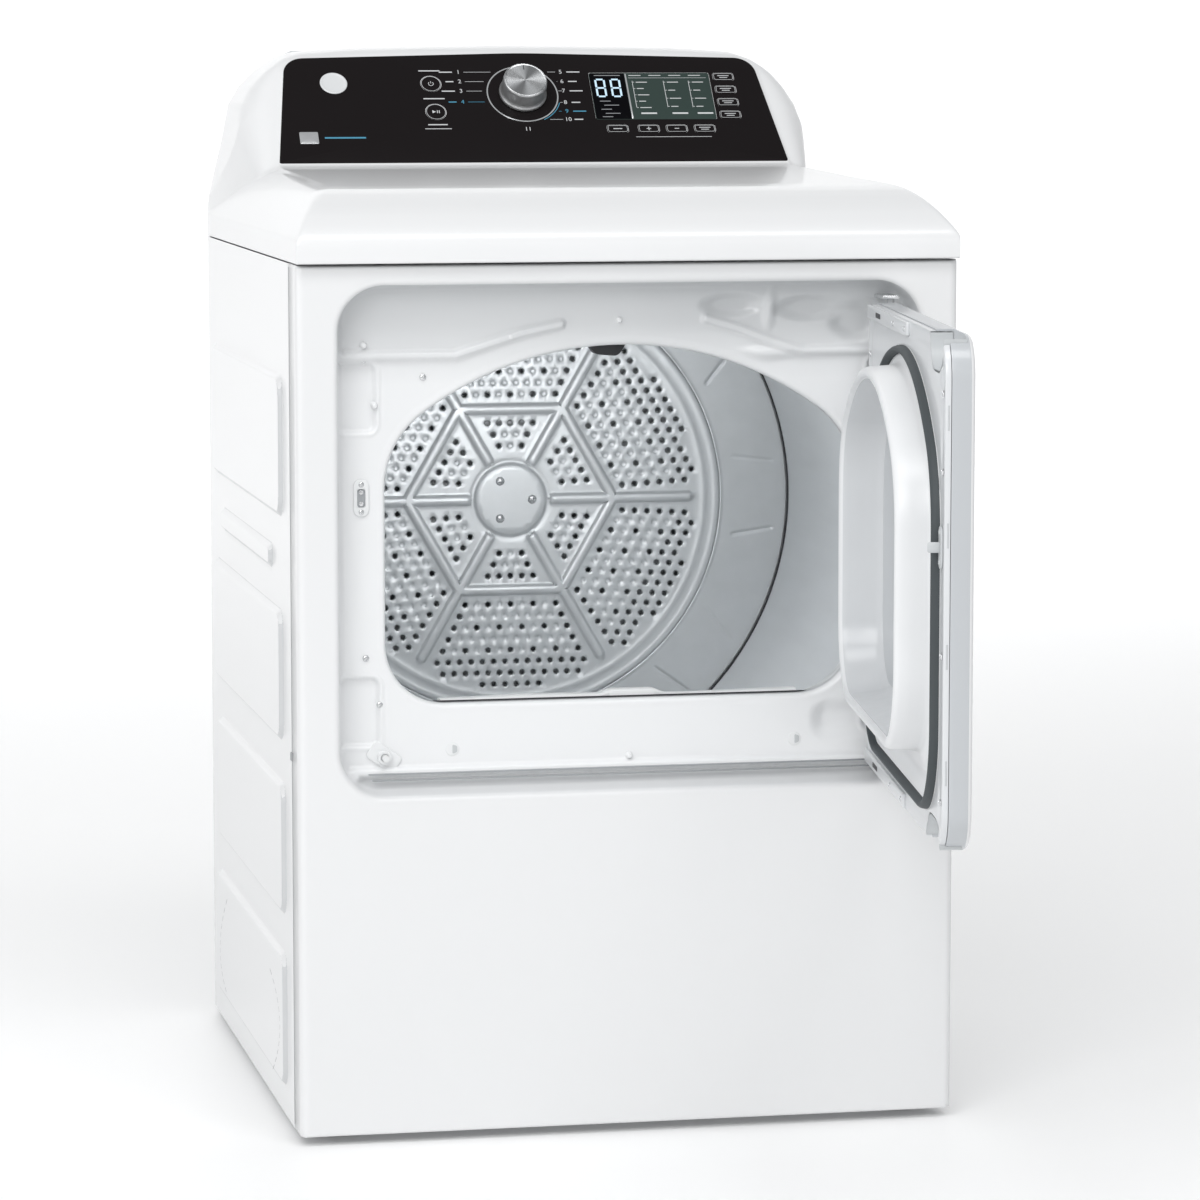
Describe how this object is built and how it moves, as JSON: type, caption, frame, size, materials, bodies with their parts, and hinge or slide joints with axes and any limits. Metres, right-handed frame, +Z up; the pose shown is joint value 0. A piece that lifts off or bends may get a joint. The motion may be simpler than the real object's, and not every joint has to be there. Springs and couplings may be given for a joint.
{
  "type": "clothes dryer",
  "caption": "Front-loading clothes dryer with an open side-hinged door, perforated drum, rear console and belt drive.",
  "frame": {"origin": "middle of the footprint of the whole object with its door open, at floor level", "axes": "+X to the right seen from the front, +Y towards the back, +Z up"},
  "size_m": [0.691, 1.2902, 1.117],
  "materials": {
    "cabinet_white": "gloss baked enamel",
    "console_white": "semi-gloss moulded plastic",
    "liner_white": "semi-gloss moulded plastic",
    "white_plastic": "satin moulded plastic",
    "grey_plastic": "satin moulded plastic",
    "dark_plastic": "matt moulded plastic",
    "gloss_black": "piano-black gloss",
    "display": "smoked display lens",
    "knob_silver": "spun aluminium",
    "drum_metal": "aluminised steel",
    "galvanised": "galvanised steel",
    "steel": "plain steel",
    "rubber": "dark grey rubber",
    "felt": "wool felt",
    "heater_wire": "oxidised resistance wire",
    "circuit_board": "green circuit board"
  },
  "bodies": {
    "cabinet": {"base_frame": "galvanised", "left_side_panel": "cabinet_white", "right_side_panel": "cabinet_white", "front_panel": "cabinet_white", "rear_panel": "galvanised", "front_bulkhead": "cabinet_white", "front_felt_seal": "felt", "drum_bearing": "white_plastic", "lint_duct": "grey_plastic", "blower_housing": "white_plastic", "exhaust_duct": "galvanised", "heater_cover": "galvanised", "heater_coil": "heater_wire", "motor_body": "steel", "motor_bracket": "galvanised", "drum_belt": "rubber", "worktop": "cabinet_white", "console_housing": "console_white", "console_rear_cover": "galvanised", "terminal_cover": "galvanised", "fascia": "gloss_black", "display_window": "display", "control_board": "circuit_board", "upper_hinge_bracket": "steel", "lower_hinge_bracket": "steel", "door_catch": "grey_plastic", "door_switch_body": "grey_plastic"},
    "door": {"door_outer_panel": "cabinet_white", "door_liner": "liner_white", "door_gasket": "rubber", "door_strike": "white_plastic", "upper_hinge_pin": "steel", "lower_hinge_pin": "steel"},
    "drum": {"drum_shell": "drum_metal", "drum_rear_head": "drum_metal", "drum_shaft": "steel", "drum_lifter_1": "white_plastic", "drum_lifter_2": "white_plastic", "drum_lifter_3": "white_plastic"},
    "motor": {"motor_rotor": "steel", "blower_wheel": "dark_plastic"},
    "idler_arm": {"idler_arm": "galvanised"},
    "idler_pulley": {"idler_pulley": "white_plastic"},
    "lint_filter": {"lint_filter": "white_plastic"},
    "selector_knob": {"selector_knob": "knob_silver"},
    "door_switch_plunger": {"door_switch_plunger": "white_plastic"},
    "option_key_1": {"option_key_1": "gloss_black"},
    "option_key_2": {"option_key_2": "gloss_black"},
    "option_key_3": {"option_key_3": "gloss_black"},
    "option_key_4": {"option_key_4": "gloss_black"},
    "side_key_1": {"side_key_1": "gloss_black"},
    "side_key_2": {"side_key_2": "gloss_black"},
    "side_key_3": {"side_key_3": "gloss_black"},
    "side_key_4": {"side_key_4": "gloss_black"},
    "power_button": {"power_button": "gloss_black"},
    "start_button": {"start_button": "gloss_black"},
    "front_left_foot": {"front_left_foot": "dark_plastic"},
    "front_right_foot": {"front_right_foot": "dark_plastic"},
    "rear_left_foot": {"rear_left_foot": "dark_plastic"},
    "rear_right_foot": {"rear_right_foot": "dark_plastic"}
  },
  "joints": [
    {"name": "door_hinge", "type": "hinge", "parent": "cabinet", "child": "door", "pos_m": [0.2725, -0.08892, 0.615], "axis": [0, 0, 1], "range_deg": [-82, 30]},
    {"name": "drum_spin", "type": "hinge", "parent": "cabinet", "child": "drum", "pos_m": [0, 0.28708, 0.594], "axis": [0, 1, 0], "continuous": true},
    {"name": "motor_spin", "type": "hinge", "parent": "cabinet", "child": "motor", "pos_m": [-0.08, 0.14708, 0.14], "axis": [0, 1, 0], "continuous": true},
    {"name": "idler_swing", "type": "hinge", "parent": "cabinet", "child": "idler_arm", "pos_m": [-0.16, 0.27508, 0.062], "axis": [0, 1, 0], "range_deg": [-12, 0], "stiffness_Nm_per_rad": 2, "springref_deg": 20.05},
    {"name": "idler_spin", "type": "hinge", "parent": "idler_arm", "child": "idler_pulley", "pos_m": [-0.16189, 0.26208, 0.19595], "axis": [0, 1, 0], "continuous": true},
    {"name": "lint_filter_slide", "type": "slide", "parent": "cabinet", "child": "lint_filter", "axis": [0, 0, 1], "range_m": [0, 0.23]},
    {"name": "knob_turn", "type": "hinge", "parent": "cabinet", "child": "selector_knob", "pos_m": [-0.0035, 0.47318, 1.05987], "axis": [0, -0.7474, 0.6644], "continuous": true},
    {"name": "switch_press", "type": "slide", "parent": "cabinet", "child": "door_switch_plunger", "axis": [0, 1, 0], "range_m": [0, 0.004], "stiffness_N_per_m": 150, "springref_m": -0.002},
    {"name": "option_key_1_press", "type": "slide", "parent": "cabinet", "child": "option_key_1", "axis": [0, 0.7474, -0.6644], "range_m": [0, 0.0008], "stiffness_N_per_m": 400, "springref_m": -0.0008},
    {"name": "option_key_2_press", "type": "slide", "parent": "cabinet", "child": "option_key_2", "axis": [0, 0.7474, -0.6644], "range_m": [0, 0.0008], "stiffness_N_per_m": 400, "springref_m": -0.0008},
    {"name": "option_key_3_press", "type": "slide", "parent": "cabinet", "child": "option_key_3", "axis": [0, 0.7474, -0.6644], "range_m": [0, 0.0008], "stiffness_N_per_m": 400, "springref_m": -0.0008},
    {"name": "option_key_4_press", "type": "slide", "parent": "cabinet", "child": "option_key_4", "axis": [0, 0.7474, -0.6644], "range_m": [0, 0.0008], "stiffness_N_per_m": 400, "springref_m": -0.0008},
    {"name": "side_key_1_press", "type": "slide", "parent": "cabinet", "child": "side_key_1", "axis": [0, 0.7474, -0.6644], "range_m": [0, 0.0008], "stiffness_N_per_m": 400, "springref_m": -0.0008},
    {"name": "side_key_2_press", "type": "slide", "parent": "cabinet", "child": "side_key_2", "axis": [0, 0.7474, -0.6644], "range_m": [0, 0.0008], "stiffness_N_per_m": 400, "springref_m": -0.0008},
    {"name": "side_key_3_press", "type": "slide", "parent": "cabinet", "child": "side_key_3", "axis": [0, 0.7474, -0.6644], "range_m": [0, 0.0008], "stiffness_N_per_m": 400, "springref_m": -0.0008},
    {"name": "side_key_4_press", "type": "slide", "parent": "cabinet", "child": "side_key_4", "axis": [0, 0.7474, -0.6644], "range_m": [0, 0.0008], "stiffness_N_per_m": 400, "springref_m": -0.0008},
    {"name": "power_press", "type": "slide", "parent": "cabinet", "child": "power_button", "axis": [0, 0.7474, -0.6644], "range_m": [0, 0.0008], "stiffness_N_per_m": 400, "springref_m": -0.0008},
    {"name": "start_press", "type": "slide", "parent": "cabinet", "child": "start_button", "axis": [0, 0.7474, -0.6644], "range_m": [0, 0.0008], "stiffness_N_per_m": 400, "springref_m": -0.0008},
    {"name": "front_left_foot_level", "type": "slide", "parent": "cabinet", "child": "front_left_foot", "axis": [0, 0, -1], "range_m": [-0.008, 0.015]},
    {"name": "front_right_foot_level", "type": "slide", "parent": "cabinet", "child": "front_right_foot", "axis": [0, 0, -1], "range_m": [-0.008, 0.015]},
    {"name": "rear_left_foot_level", "type": "slide", "parent": "cabinet", "child": "rear_left_foot", "axis": [0, 0, -1], "range_m": [-0.008, 0.015]},
    {"name": "rear_right_foot_level", "type": "slide", "parent": "cabinet", "child": "rear_right_foot", "axis": [0, 0, -1], "range_m": [-0.008, 0.015]}
  ],
  "couplings": [
    {"joint": "motor_spin", "follows": "drum_spin", "ratio": 33.2},
    {"joint": "idler_spin", "follows": "drum_spin", "ratio": -15.091}
  ]
}
